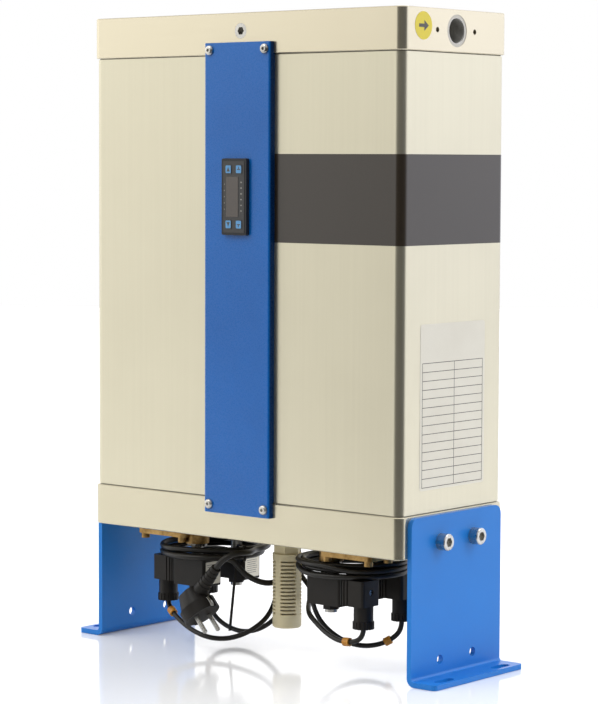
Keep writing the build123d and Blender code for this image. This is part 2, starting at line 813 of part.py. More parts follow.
cover_spots = [(s * cover_x + u, y + v) for side, s, row, y in valves for u, v in cover_corners]
with BuildPart() as cover_screws:
    with BuildSketch(block_plane(cover_low_z - cover_head_h)) as heads:
        with Locations(*cover_spots):
            Circle(cover_head_d / 2)
    extrude(amount=cover_head_h)
    with BuildSketch(block_plane(cover_low_z - cover_head_h)) as sockets:
        with Locations(*cover_spots):
            RegularPolygon(cover_hex / 2, 6, major_radius=False)
    extrude(amount=cover_head_h / 2, mode=Mode.SUBTRACT)
    with BuildSketch(block_plane(cover_low_z)) as shanks:
        with Locations(*cover_spots):
            Circle(cover_screw_d / 2)
    extrude(amount=cover_screw_l)
export(cover_screws, "cover_screws")

with BuildPart() as solenoid_nuts:
    with BuildSketch(block_plane(solenoid_low_z)) as nuts:
        for side, s, row, y in valves:
            with Locations((s * pilot_x, y)):
                RegularPolygon(nut_d / 2, 6)
                Circle(tube_d / 2 + thread_clear, mode=Mode.SUBTRACT)
    extrude(amount=-nut_h)
export(solenoid_nuts, "solenoid_nuts")

with BuildPart() as connector_seals:
    for side, s, row, y in valves:
        with BuildSketch(Plane.YZ.offset(s * (connector_x - seal_t))) as seal:
            with Locations((y, connector_low_z + connector_h / 2)):
                Rectangle(connector_d - 2 * seal_inset, connector_h - 2 * seal_inset)
            with Locations((y, screw_z)):
                Circle(connector_screw_d / 2 + thread_clear, mode=Mode.SUBTRACT)
        extrude(amount=s * seal_t)
export(connector_seals, "connector_seals")

with BuildPart() as connector_screws:
    for side, s, row, y in valves:
        head_x = s * (connector_x + connector_w - connector_screw_sink)
        with BuildSketch(Plane.YZ.offset(head_x)) as head:
            with Locations((y, screw_z)):
                Circle(connector_screw_head / 2)
                Rectangle(connector_screw_head, connector_slot_w, mode=Mode.SUBTRACT)
        extrude(amount=-s * connector_slot_l)
        with BuildSketch(Plane.YZ.offset(head_x - s * connector_slot_l)) as seat:
            with Locations((y, screw_z)):
                Circle(connector_screw_head / 2)
        extrude(amount=-s * (connector_head_t - connector_slot_l))
        with BuildSketch(Plane.YZ.offset(head_x - s * connector_head_t)) as shank:
            with Locations((y, screw_z)):
                Circle(connector_screw_d / 2)
        extrude(amount=-s * (connector_w - connector_screw_sink - connector_head_t + seal_t))
export(connector_screws, "connector_screws")

with BuildPart() as gland_nuts:
    with BuildSketch(block_plane(cable_exit_z)) as nuts:
        for side, s, row, y in valves:
            with Locations((s * gland_x, y)):
                Circle(gland_nut_d / 2)
                with PolarLocations(gland_nut_d / 2, gland_nut_lobes):
                    Circle(gland_lobe_r, mode=Mode.SUBTRACT)
            with Locations((s * gland_x, y)):
                Circle(gland_spigot_d / 2 + thread_clear, mode=Mode.SUBTRACT)
    extrude(amount=gland_nut_h)
export(gland_nuts, "gland_nuts")

# Silencer: slotted shell round a porous core
with BuildPart() as silencer:
    with BuildSketch(block_plane(silencer_low_z)) as shell:
        with Locations((0, silencer_y)):
            Circle(silencer_d / 2)
    extrude(amount=silencer_high_z - silencer_low_z)
    chamfer(silencer.faces().sort_by(Axis.Z)[0].edges(), silencer_edge)
    with BuildSketch(block_plane(silencer_high_z)) as hexagon:
        with Locations((0, silencer_y)):
            RegularPolygon(silencer_hex / 2, 6, major_radius=False)
    extrude(amount=leg_drop - silencer_high_z)
    with BuildSketch(block_plane(leg_drop)) as thread:
        with Locations((0, silencer_y)):
            Circle(silencer_thread_d / 2)
    extrude(amount=silencer_thread_l)
    with BuildSketch(block_plane(silencer_low_z + silencer_cap)) as hollow:
        with Locations((0, silencer_y)):
            Circle(silencer_d / 2 - silencer_wall)
    extrude(amount=silencer_high_z - silencer_low_z - silencer_cap - silencer_neck_t, mode=Mode.SUBTRACT)
    with BuildSketch(block_plane(silencer_high_z - silencer_neck_t)) as neck_way:
        with Locations((0, silencer_y)):
            Circle(silencer_thread_d / 2 - silencer_neck_wall)
    extrude(amount=leg_drop + silencer_thread_l - silencer_high_z + silencer_neck_t, mode=Mode.SUBTRACT)
    for k in range(slot_rows):
        with BuildSketch(block_plane(slot_low_z + k * slot_pitch)) as slots:
            for q in range(4):
                first = radians(slot_turn + 90 * q - slot_angle / 2)
                last = radians(slot_turn + 90 * q + slot_angle / 2)
                far = silencer_d * 0.75
                with BuildLine():
                    Polyline(
                        (0, silencer_y),
                        (far * cos(first), silencer_y + far * sin(first)),
                        (far * cos(last), silencer_y + far * sin(last)),
                        close=True,
                    )
                make_face()
            with Locations((0, silencer_y)):
                Circle(silencer_d / 2 - silencer_wall - slot_past_wall, mode=Mode.SUBTRACT)
        extrude(amount=slot_h, mode=Mode.SUBTRACT)
export(silencer, "silencer")

with BuildPart() as silencer_core:
    with BuildSketch(block_plane(silencer_low_z + silencer_cap)) as core:
        with Locations((0, silencer_y)):
            Circle(silencer_d / 2 - silencer_wall - core_clear)
            Circle(silencer_d / 2 - silencer_wall - core_clear - core_t, mode=Mode.SUBTRACT)
    extrude(amount=silencer_high_z - silencer_low_z - silencer_cap - silencer_neck_t - core_clear)
export(silencer_core, "silencer_core")

# Cable entry into the wiring channel
entry_low_z = leg_drop - entry_hex_h - entry_dome_h
with BuildPart() as cable_entry:
    with BuildSketch(block_plane(leg_drop)) as thread:
        with Locations((entry_x, entry_y)):
            Circle(entry_d / 2)
    extrude(amount=entry_l)
    with BuildSketch(block_plane(leg_drop)) as hexagon:
        with Locations((entry_x, entry_y)):
            RegularPolygon(entry_hex / 2, 6, major_radius=False)
    extrude(amount=-entry_hex_h)
    with BuildSketch(block_plane(leg_drop - entry_hex_h)) as dome:
        with Locations((entry_x, entry_y)):
            Circle(entry_dome_d / 2)
    extrude(amount=-entry_dome_h, taper=entry_draft)
export(cable_entry, "cable_entry")

# Mains plug with its side entry, and the two pins
plug_axis = Vector(cos(radians(plug_tilt)), 0, -sin(radians(plug_tilt)))
plug_side = Vector(sin(radians(plug_tilt)), 0, cos(radians(plug_tilt)))
plug_plane = Plane(origin=(plug_face_x, plug_face_y, plug_face_z), x_dir=plug_side, z_dir=plug_axis)
pin_places = [(0, t * pin_pitch / 2) for t in (-1, 1)]
relief_dir = plug_side * cos(radians(relief_tilt)) - plug_axis * sin(radians(relief_tilt))
relief_start = plug_plane.from_local_coords((relief_from, 0, -relief_low))
relief_plane = Plane(origin=relief_start, z_dir=relief_dir)
relief_l = relief_to - relief_from

with BuildPart() as mains_plug:
    with BuildSketch(plug_plane.offset(-plug_disc_t)) as disc:
        Circle(plug_disc_d / 2)
    extrude(amount=plug_disc_t)
    with BuildSketch(plug_plane.offset(-plug_disc_t)) as shoulder:
        Circle(plug_disc_d / 2 - plug_shoulder)
    with BuildSketch(plug_plane.offset(-plug_back)) as crown:
        with Locations((crown_x, 0)):
            RectangleRounded(crown_w, crown_d, crown_r)
    loft()
    with BuildSketch(relief_plane) as root:
        Circle(relief_big_d / 2)
    with BuildSketch(relief_plane.offset(relief_l)) as tip:
        Circle(relief_small_d / 2)
    loft()
    for k in range(relief_rings):
        from_tip = relief_pitch * (k + 1)
        local_r = relief_small_d / 2 + (relief_big_d - relief_small_d) / 2 * from_tip / relief_l
        with BuildSketch(relief_plane.offset(relief_l - from_tip)) as ring_cut:
            Circle(relief_big_d)
            Circle(local_r - relief_cut, mode=Mode.SUBTRACT)
        extrude(amount=relief_gap, mode=Mode.SUBTRACT)
    with BuildSketch(plug_plane) as clip_ways:
        for t in (-1, 1):
            with Locations((t * plug_disc_d / 2, 0)):
                Rectangle(clip_depth * 2, clip_w)
    extrude(amount=-plug_disc_t, mode=Mode.SUBTRACT)
    with BuildSketch(plug_plane) as pin_ways:
        with Locations(*pin_places):
            Circle(pin_d / 2 + thread_clear)
    extrude(amount=-pin_root, mode=Mode.SUBTRACT)
export(mains_plug, "mains_plug")

with BuildPart() as plug_pins:
    with BuildSketch(plug_plane.offset(-pin_root)) as roots:
        with Locations(*pin_places):
            Circle(pin_d / 2)
    extrude(amount=pin_root + pin_l)
    flat_ends = plug_pins.faces().filter_by(GeomType.PLANE).sort_by(Axis(plug_plane.origin, plug_axis))
    chamfer(flat_ends[-2:].edges(), pin_edge)
export(plug_pins, "plug_pins")

# Wound loops of spare cable, lying on the solenoids round the pilot tubes
loops = {}
for side, s in sides:
    with BuildPart() as loop:
        with BuildSketch(block_plane(loop_low_z)) as ring:
            with Locations((s * loop_x, loop_y)):
                Circle(loop_r)
                Circle(loop_r - loop_wall, mode=Mode.SUBTRACT)
        extrude(amount=loop_h)
        fillet(loop.edges(), loop_edge)
    loops[side] = loop
export(loops["left"], "mains_cord_coil")
export(loops["right"], "valve_cable_coil")


def corner_radii(points):
    """Largest radius that each corner's two runs allow, at 0.45 of the shorter run."""
    radii = []
    for a, b, c in zip(points, points[1:], points[2:]):
        before = b - a
        after = c - b
        half_turn = radians(before.get_angle(after)) / 2
        radii.append(0.45 * min(before.length, after.length) / tan(half_turn))
    return radii


def free_tube(name, route, diameter, ring=None):
    """Plain tube along straight runs and tangent arcs, cut where it meets a wound loop."""
    points = [Vector(*p) for p in route]
    radii = corner_radii(points)
    with BuildPart() as tube:
        with BuildLine() as path:
            FilletPolyline(*points, radius=radii)
        line = path.wires()[0]
        with BuildSketch(Plane(origin=points[0], z_dir=points[1] - points[0])) as section:
            Circle(diameter / 2)
        sweep(path=line)
        if ring:
            add(ring.part, mode=Mode.SUBTRACT)
    export(tube, name)
    share = tube.part.volume / (line.length * pi * diameter**2 / 4)
    turns = " ".join(f"{r:.0f}" for r in radii)
    print(f"{name} length {line.length:.0f} mm, volume share {share:.3f}, radii {turns}")


# Valve cables, from each gland under the silencer's far side up to the entry
exit_x = gland_x
cable_tops = []
for angle in entry_angles:
    turn = radians(angle)
    cable_tops.append((entry_x + entry_ring * cos(turn), entry_y + entry_ring * sin(turn)))
left_front_route = [
    (-exit_x, valve_front_y, cable_exit_z),
    (-exit_x, valve_front_y, 36.5),
    (-111, -52, 27.5),
    (-92, -56, 19.5),
    (-72, -57.5, 14),
    (-53, -55, 12),
    (-36, -47, 14.5),
    (-25, -31, 22),
    (-22, -11, 34),
    (-27, 5, 50),
    (cable_tops[0][0], cable_tops[0][1], 78),
    (cable_tops[0][0], cable_tops[0][1], entry_low_z),
]
left_rear_route = [
    (-exit_x, valve_rear_y, cable_exit_z),
    (-exit_x, valve_rear_y, 35),
    (-119, 10, 25),
    (-107, 7, 17),
    (-90, 4, 11.5),
    (-70, 3, 9),
    (-51, 6, 13),
    (-35, 11, 24),
    (-22, 19, 45),
    (cable_tops[1][0], cable_tops[1][1], 76),
    (cable_tops[1][0], cable_tops[1][1], entry_low_z),
]
right_front_route = [
    (exit_x, valve_front_y, cable_exit_z),
    (exit_x, valve_front_y, 36),
    (119, -50, 29),
    (99, -50, 28),
    (82, -48, 33),
    (64, -42, 40.5),
    (46, -33, 47),
    (30, -12, 54),
    (16, 10, 61),
    (-3, 16, 72),
    (cable_tops[2][0], cable_tops[2][1], 86),
    (cable_tops[2][0], cable_tops[2][1], entry_low_z),
]
right_rear_route = [
    (exit_x, valve_rear_y, cable_exit_z),
    (exit_x, valve_rear_y, 35),
    (121, 9, 26),
    (110, 2, 19),
    (97, -8, 16.5),
    (84, -18, 20),
    (71, -25, 28),
    (58, -28, 39),
    (47, -26, 53),
    (38.6, -18, 71),
    (38.6, -18, loop_low_z),
]
spare_end_route = [
    (45, 8, loop_low_z),
    (45, 8, 77),
    (33, 19, 66),
    (14, 28, 65),
    (-5, 28, 75),
    (cable_tops[3][0], cable_tops[3][1], 88),
    (cable_tops[3][0], cable_tops[3][1], entry_low_z),
]
free_tube("valve_cable_left_front", left_front_route, cable_d)
free_tube("valve_cable_left_rear", left_rear_route, cable_d)
free_tube("valve_cable_right_front", right_front_route, cable_d)
free_tube("valve_cable_right_rear", right_rear_route, cable_d)
free_tube("valve_cable_tail", spare_end_route, cable_d)

# Mains cord: from the plug into the left loop, and from the loop to the entry
plug_exit = relief_start + relief_dir * relief_l
lead_route = [
    tuple(plug_exit),
    tuple(plug_exit + relief_dir * lead_straight),
    (-24, -64, 102),
    (-22, -50, 101.5),
    (-26, -34, 99),
    (-37, -20, 97.3),
]
tail_route = [
    (-44, -41, loop_low_z),
    (-44, -41, 82),
    (-33, -33, 73),
    (-23, -14, 65),
    (-17, 8, 69),
    (entry_x, entry_y, 88),
    (entry_x, entry_y, entry_low_z),
]
free_tube("mains_cord_lead", lead_route, cord_d, loops["left"])
free_tube("mains_cord_tail", tail_route, cord_d)

# Amber marker sleeves, each on a straight run of its cable near the gland
marked_runs = (
    left_front_route[1:3],
    left_rear_route[1:3],
    right_front_route[2:4],
    right_rear_route[2:4],
)
with BuildPart() as cable_markers:
    for run_start, run_end in marked_runs:
        start = Vector(*run_start)
        run = Vector(*run_end) - start
        sleeve_plane = Plane(origin=start + run * 0.5 - run.normalized() * (marker_l / 2), z_dir=run)
        with BuildSketch(sleeve_plane) as sleeve:
            Circle(marker_d / 2)
            Circle(cable_d / 2 + marker_clear, mode=Mode.SUBTRACT)
        extrude(amount=marker_l)
export(cable_markers, "cable_markers")

# Tie round the left loop, with its long tail hanging
tie_spot = Vector(
    -loop_x + (loop_r - loop_wall / 2) * cos(radians(tie_angle)),
    loop_y + (loop_r - loop_wall / 2) * sin(radians(tie_angle)),
    loop_low_z + loop_h / 2,
)
tie_out = Vector(cos(radians(tie_angle)), sin(radians(tie_angle)), 0)
tie_plane = Plane(origin=tie_spot, x_dir=tie_out, z_dir=tie_out.cross(Vector(0, 0, 1)))
strap_w = loop_wall + 2 * tie_clear_loop
strap_h = loop_h + 2 * tie_clear_loop
strap_x = -strap_w / 2
with BuildPart() as cable_tie:
    with BuildSketch(tie_plane.offset(-tie_w / 2)) as strap:
        RectangleRounded(strap_w + 2 * tie_t, strap_h + 2 * tie_t, loop_edge)
        RectangleRounded(strap_w, strap_h, loop_edge - tie_t, mode=Mode.SUBTRACT)
    extrude(amount=tie_w)
    with BuildSketch(tie_plane.offset(-tie_head / 2)) as lock:
        with Locations((strap_x - tie_head / 2, 0)):
            Rectangle(tie_head, tie_head)
    extrude(amount=tie_head)
    with BuildSketch(tie_plane.offset(-tie_w / 2)) as tail:
        with BuildLine():
            Polyline(
                (strap_x - tie_tail_out, -tie_head / 2),
                (strap_x - tie_tail_out - tie_t, -tie_head / 2),
                (strap_x - tie_swing - tie_t, -tie_tail),
                (strap_x - tie_swing, -tie_tail),
                close=True,
            )
        make_face()
    extrude(amount=tie_w)
export(cable_tie, "cable_tie")
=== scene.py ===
import json
from math import cos, pi, radians, sin

import bmesh
import bpy
from mathutils import Matrix, Vector


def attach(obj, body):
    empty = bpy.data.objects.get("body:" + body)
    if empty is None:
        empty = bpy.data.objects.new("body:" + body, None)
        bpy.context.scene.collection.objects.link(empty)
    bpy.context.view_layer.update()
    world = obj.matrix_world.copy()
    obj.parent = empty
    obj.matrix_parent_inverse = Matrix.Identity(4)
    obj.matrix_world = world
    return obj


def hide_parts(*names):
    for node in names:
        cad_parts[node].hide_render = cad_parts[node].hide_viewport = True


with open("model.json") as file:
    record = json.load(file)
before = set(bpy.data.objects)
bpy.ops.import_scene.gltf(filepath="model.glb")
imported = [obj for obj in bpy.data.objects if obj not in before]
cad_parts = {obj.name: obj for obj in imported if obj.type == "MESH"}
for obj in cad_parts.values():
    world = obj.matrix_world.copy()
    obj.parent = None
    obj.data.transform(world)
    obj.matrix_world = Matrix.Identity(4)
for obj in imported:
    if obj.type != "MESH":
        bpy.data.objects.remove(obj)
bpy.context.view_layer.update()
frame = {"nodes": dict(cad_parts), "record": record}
nodes = frame["nodes"]
slot_of = {s["node"]: s["material_slot"] for s in frame["record"]["subparts"]}
scene = bpy.context.scene
scene.view_settings.view_transform = "Standard"

# Camera, solved from the block edges in the photograph. It looks down a little, so it needs no shift.
IMAGE_HEIGHT_PX = 704
SENSOR_MM = 36.0
FOCAL_PX = 2574.0
AZIMUTH = radians(39.79)
PITCH = radians(4.25)
ROLL = radians(0.21)
right = Vector((cos(AZIMUTH), sin(AZIMUTH), 0))
back = Vector((sin(AZIMUTH), -cos(AZIMUTH), 0))
up = Vector((0, 0, 1))
camera = bpy.data.objects.new("camera", bpy.data.cameras.new("camera"))
scene.collection.objects.link(camera)
rise = up * cos(PITCH) - back * sin(PITCH)
axes = Matrix((right * cos(ROLL) + rise * sin(ROLL), rise * cos(ROLL) - right * sin(ROLL),
               back * cos(PITCH) + up * sin(PITCH))).transposed()
camera.matrix_world = Matrix.Translation((1.6348, -1.9556, 0.4884)) @ axes.to_4x4()
camera.data.sensor_fit = "VERTICAL"
camera.data.sensor_height = SENSOR_MM
camera.data.lens = FOCAL_PX / IMAGE_HEIGHT_PX * SENSOR_MM
camera.data.clip_end = 30.0
scene.camera = camera


# Materials
def srgb(r, g, b):
    """A colour of the photograph, 0 to 255, as linear light."""
    return tuple(c / 255 / 12.92 if c < 11 else ((c / 255 + 0.055) / 1.055) ** 2.4 for c in (r, g, b)) + (1.0,)


class Shader:
    """A Principled material that grows node by node. Textures are placed in metres, in the row frame."""

    def __init__(self, name, **constants):
        self.material = bpy.data.materials.new(name)
        self.material.use_nodes = True
        self.tree = self.material.node_tree
        self.surface = self.tree.nodes["Principled BSDF"]
        for socket, value in constants.items():
            self.surface.inputs[socket.replace("_", " ")].default_value = value
        self.coordinates = self.tree.nodes.new("ShaderNodeTexCoord").outputs["Object"]

    def link(self, source, target):
        self.tree.links.new(source, target)

    def noise(self, scale, detail=3.0, stretch=(1, 1, 1), roughness=0.5):
        """Noise from 0 to 1. A small stretch along an axis draws the grain out along it."""
        mapping = self.tree.nodes.new("ShaderNodeMapping")
        mapping.inputs["Scale"].default_value = [scale * s for s in stretch]
        texture = self.tree.nodes.new("ShaderNodeTexNoise")
        texture.inputs["Scale"].default_value = 1.0
        texture.inputs["Detail"].default_value = detail
        texture.inputs["Roughness"].default_value = roughness
        self.link(self.coordinates, mapping.inputs["Vector"])
        self.link(mapping.outputs["Vector"], texture.inputs["Vector"])
        return texture.outputs["Fac"]

    def remap(self, value, low, high, to_low=0.0, to_high=1.0):
        node = self.tree.nodes.new("ShaderNodeMapRange")
        node.inputs["From Min"].default_value = low
        node.inputs["From Max"].default_value = high
        node.inputs["To Min"].default_value = to_low
        node.inputs["To Max"].default_value = to_high
        self.link(value, node.inputs["Value"])
        return node.outputs["Result"]

    def math(self, kind, a, b):
        node = self.tree.nodes.new("ShaderNodeMath")
        node.operation = kind
        for value, socket in ((a, node.inputs[0]), (b, node.inputs[1])):
            if isinstance(value, float):
                socket.default_value = value
            else:
                self.link(value, socket)
        return node.outputs["Value"]

    def mix(self, factor, a, b):
        node = self.tree.nodes.new("ShaderNodeMix")
        node.data_type = "RGBA"
        self.link(factor, node.inputs["Factor"])
        for value, socket in ((a, node.inputs["A"]), (b, node.inputs["B"])):
            if isinstance(value, tuple):
                socket.default_value = value
            else:
                self.link(value, socket)
        return node.outputs["Result"]

    def axis(self, name):
        node = self.tree.nodes.new("ShaderNodeSeparateXYZ")
        self.link(self.coordinates, node.inputs["Vector"])
        return node.outputs[name]

    def colour(self, output):
        self.link(output, self.surface.inputs["Base Color"])

    def rough(self, output):
        self.link(output, self.surface.inputs["Roughness"])

    def bump(self, height, distance, strength=1.0):
        node = self.tree.nodes.new("ShaderNodeBump")
        node.inputs["Distance"].default_value = distance
        node.inputs["Strength"].default_value = strength
        self.link(height, node.inputs["Height"])
        self.link(node.outputs["Normal"], self.surface.inputs["Normal"])


def grain(shader, cloud, scale, stretch=(1, 1, 1)):
    """A fine grain, and the same grain over a slow drift."""
    drift = shader.noise(cloud, 3.0)
    fine = shader.noise(scale, 4.0, stretch, 0.6)
    return fine, shader.math("ADD", shader.math("MULTIPLY", drift, 0.6), shader.math("MULTIPLY", fine, 0.4))


def grained(name, dark, light, rough, scale, bump, stretch=(1, 1, 1), cloud=9.0, **constants):
    """Colour that drifts over the surface, with a grain in its colour, gloss and relief."""
    shader = Shader(name, **constants)
    fine, mixed = grain(shader, cloud, scale, stretch)
    shader.colour(shader.mix(shader.remap(mixed, 0.35, 0.65), dark, light))
    shader.rough(shader.remap(mixed, 0.3, 0.7, rough[0], rough[1]))
    shader.bump(fine, bump)
    return shader.material


looks = {
    "column": grained("column_metal", srgb(203, 197, 174), srgb(209, 203, 180), (0.29, 0.34), 260.0, 0.00001,
                      (1, 1, 0.012), 7.0, Metallic=0.85),
    "painted_block": grained("block_metal", srgb(198, 191, 167), srgb(205, 198, 174), (0.23, 0.28), 900.0, 0.00001,
                             (0.01, 0.01, 1), 7.0, Metallic=0.85),
    "steel": grained("zinc_steel", srgb(168, 166, 160), srgb(206, 204, 198), (0.2, 0.36), 800.0, 0.00003,
                     (1, 1, 1), 60.0, Metallic=1.0),
    "stainless": grained("stainless", srgb(150, 148, 142), srgb(188, 186, 180), (0.22, 0.36), 900.0, 0.00003,
                         (1, 1, 0.05), 60.0, Metallic=1.0),
    "brass": grained("brass", srgb(120, 92, 50), srgb(190, 156, 100), (0.3, 0.5), 380.0, 0.00015,
                     (1, 1, 1), 80.0, Metallic=0.9),
    "black_plastic": grained("black_plastic", srgb(20, 17, 14), srgb(34, 30, 25), (0.40, 0.56), 1500.0, 0.00005,
                             (1, 1, 1), 30.0, Specular_IOR_Level=0.25),
    "beige_plastic": grained("beige_plastic", srgb(224, 211, 172), srgb(234, 222, 184), (0.5, 0.66), 1300.0, 0.00006,
                             (1, 1, 1), 40.0, Specular_IOR_Level=0.3),
    "grey_plastic": grained("grey_plastic", srgb(36, 38, 40), srgb(52, 53, 54), (0.4, 0.52), 1600.0, 0.00003,
                            (1, 1, 1), 30.0, Specular_IOR_Level=0.3),
    "overlay": grained("overlay_film", srgb(56, 56, 56), srgb(66, 65, 63), (0.26, 0.34), 1400.0, 0.00001,
                       (1, 1, 1), 30.0, Specular_IOR_Level=0.4),
    "seal": grained("seal_rubber", srgb(26, 26, 25), srgb(40, 40, 38), (0.6, 0.78), 1200.0, 0.00006),
    "desiccant": grained("desiccant_beads", srgb(196, 190, 176), srgb(232, 228, 216), (0.7, 0.9), 330.0, 0.0006),
    "porous": grained("porous_core", srgb(176, 168, 150), srgb(208, 202, 186), (0.8, 0.95), 900.0, 0.0003),
    "cable": grained("cable_sheath", srgb(22, 20, 17), srgb(36, 33, 28), (0.34, 0.46), 700.0, 0.00003,
                     (1, 1, 1), 40.0, Specular_IOR_Level=0.35),
    "amber": grained("amber_sleeve", srgb(176, 112, 26), srgb(216, 150, 48), (0.36, 0.5), 900.0, 0.00005,
                     (1, 1, 1), 90.0),
}
fibre = grained("gasket_fibre", srgb(150, 146, 134), srgb(176, 171, 156), (0.6, 0.75), 700.0, 0.00004)
# Painted light: the legs take a lighter, brighter copy of the panel's blue paint, for the light from above and the
# right that falls on them.
leg_blue_painted_light = grained("leg_blue_painted_light", srgb(22, 120, 206), srgb(28, 127, 214), (0.3, 0.38), 900.0, 0.00001, (1, 1, 1), 8.0,
                    Specular_IOR_Level=0.35)


PORT_Z = 0.61
BORE_R, SPOT_R = 0.0122, 0.0154     # the ports' bore and the spot face round it
SPOT_FACE_X = 0.19685
FOLD_X = 0.0412                     # where the front panel's face turns into its fold


def port_metal():
    """The block's metal, a little lighter here than the lower block's as painted light, with bare machined spot faces
    round the ports and dark bores.
    """
    shader = Shader("upper_block_metal", Metallic=0.85)
    fine, mixed = grain(shader, 7.0, 900.0, (0.01, 0.01, 1))
    # Painted light: the upper block's metal is a lighter copy of the lower block's, for the light that falls on it.
    metal = shader.mix(shader.remap(mixed, 0.35, 0.65), srgb(205, 196, 172), srgb(212, 203, 179))
    z = shader.math("SUBTRACT", shader.axis("Z"), PORT_Z)
    y = shader.axis("Y")
    reach = shader.math("SQRT", shader.math("ADD", shader.math("MULTIPLY", z, z), shader.math("MULTIPLY", y, y)), 0.0)
    end = shader.remap(shader.math("ABSOLUTE", shader.axis("X"), 0.0), SPOT_FACE_X, SPOT_FACE_X + 0.0001, 1.0, 0.0)
    inner = shader.remap(reach, BORE_R, BORE_R + 0.0002, 1.0, 0.0)
    ring = shader.math("MULTIPLY", end, shader.remap(reach, SPOT_R, SPOT_R + 0.0001, 1.0, 0.0))
    metal = shader.mix(ring, metal, srgb(168, 164, 152))
    shader.colour(shader.mix(inner, metal, srgb(196, 194, 188)))
    shader.rough(shader.remap(mixed, 0.3, 0.7, 0.23, 0.28))
    shader.bump(fine, 0.00001)
    return shader.material


def panel_paint():
    """The blue paint, with painted shade as a deeper navy on the tray's folded edges."""
    shader = Shader("panel_paint", Specular_IOR_Level=0.35, Coat_Weight=0.15, Coat_Roughness=0.12)
    drift = shader.noise(8.0, 3.0)
    fine = shader.noise(900.0, 4.0)
    face = shader.mix(shader.remap(drift, 0.35, 0.65), srgb(6, 98, 180), srgb(10, 105, 190))
    # Painted shade: the folded edges turn away from the light, so they get a deeper navy in place of the shade.
    fold_shade = shader.remap(shader.math("ABSOLUTE", shader.axis("X"), 0.0), FOLD_X, FOLD_X + 0.0007)
    shader.colour(shader.mix(fold_shade, face, srgb(2, 56, 110)))
    shader.rough(shader.remap(fine, 0.3, 0.7, 0.24, 0.32))
    shader.bump(fine, 0.00001)
    return shader.material


own_looks = {
    "front_panel": panel_paint(),
    "top_block": port_metal(),
    "upper_gasket": fibre,
    "lower_gasket": fibre,
    "left_leg": leg_blue_painted_light,
    "right_leg": leg_blue_painted_light,
}
for node, obj in nodes.items():
    look = own_looks[node] if node in own_looks else looks[slot_of[node]]
    for place in obj.material_slots:
        place.material = look
    if not obj.material_slots:
        obj.data.materials.append(look)


# Cords: each is one smooth curve through its whole route
def cord_curve(name, points, diameter, material):
    """A cord of one diameter whose control points are its route, in metres."""
    data = bpy.data.curves.new(name, "CURVE")
    data.dimensions = "3D"
    data.bevel_depth = diameter / 2
    data.bevel_resolution = 3
    data.resolution_u = 5
    data.use_fill_caps = True
    spline = data.splines.new("NURBS")
    spline.points.add(len(points) - 1)
    for point, place in zip(spline.points, points):
        point.co = (*place, 1)
    spline.order_u = 3
    spline.use_endpoint_u = True
    data.materials.append(looks[material])
    obj = bpy.data.objects.new(name, data)
    scene.collection.objects.link(obj)
    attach(obj, "root")
    return obj


def wound(centre, start, total, sense, cells, shift, step=18):
    """Turns of a loop. The cord keeps to one cell (radius, height) a turn and moves to the next over the shift."""
    period = (total + shift) / len(cells)
    count = round(total / step)
    points = []
    for k in range(count + 1):
        gone = total * k / count
        cell = min(int(gone // period), len(cells) - 1)
        onward = min(cell + 1, len(cells) - 1)
        share = max(0.0, (gone - (cell + 1) * period) / shift + 1)
        radius = cells[cell][0] + (cells[onward][0] - cells[cell][0]) * share
        height = cells[cell][1] + (cells[onward][1] - cells[cell][1]) * share
        turn = radians(start + sense * gone)
        radius += 0.0007 * sin(2 * turn + 1)
        points.append((centre[0] + radius * cos(turn), centre[1] + radius * sin(turn), height))
    return points


cable_d = 0.005             # valve cables
cord_d = 0.006              # mains lead
FRONT_Y, REAR_Y = -0.047, 0.013     # the two rows of valves
LOOP_X, LOOP_Y = 0.089, -0.017      # middle of the right loop; the left one is its mirror
left_front = cord_curve("cable_left_front", [
    (-0.1265, -0.047, 0.043),
    (-0.1265, -0.047, 0.0365),
    (-0.111, -0.052, 0.0275),
    (-0.092, -0.056, 0.0195),
    (-0.072, -0.0575, 0.014),
    (-0.053, -0.055, 0.012),
    (-0.036, -0.047, 0.0145),
    (-0.025, -0.031, 0.022),
    (-0.022, -0.011, 0.034),
    (-0.027, 0.005, 0.05),
    (-0.0216, 0.018, 0.078),
    (-0.0216, 0.018, 0.105),
], cable_d, "cable")
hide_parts("valve_cable_left_front")

left_rear = cord_curve("cable_left_rear", [
    (-0.1265, 0.013, 0.043),
    (-0.1265, 0.013, 0.035),
    (-0.119, 0.010, 0.025),
    (-0.107, 0.007, 0.017),
    (-0.090, 0.004, 0.0115),
    (-0.070, 0.003, 0.009),
    (-0.051, 0.006, 0.013),
    (-0.035, 0.011, 0.024),
    (-0.022, 0.019, 0.045),
    (-0.0179, 0.0233, 0.076),
    (-0.0179, 0.0233, 0.105),
], cable_d, "cable")
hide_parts("valve_cable_left_rear")

right_front = cord_curve("cable_right_front", [
    (0.1265, -0.047, 0.043),
    (0.1265, -0.047, 0.036),
    (0.119, -0.050, 0.029),
    (0.099, -0.050, 0.028),
    (0.082, -0.048, 0.033),
    (0.064, -0.042, 0.0405),
    (0.046, -0.033, 0.047),
    (0.030, -0.012, 0.054),
    (0.016, 0.010, 0.061),
    (-0.003, 0.016, 0.072),
    (-0.0112, 0.0152, 0.086),
    (-0.0112, 0.0152, 0.105),
], cable_d, "cable")
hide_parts("valve_cable_right_front")

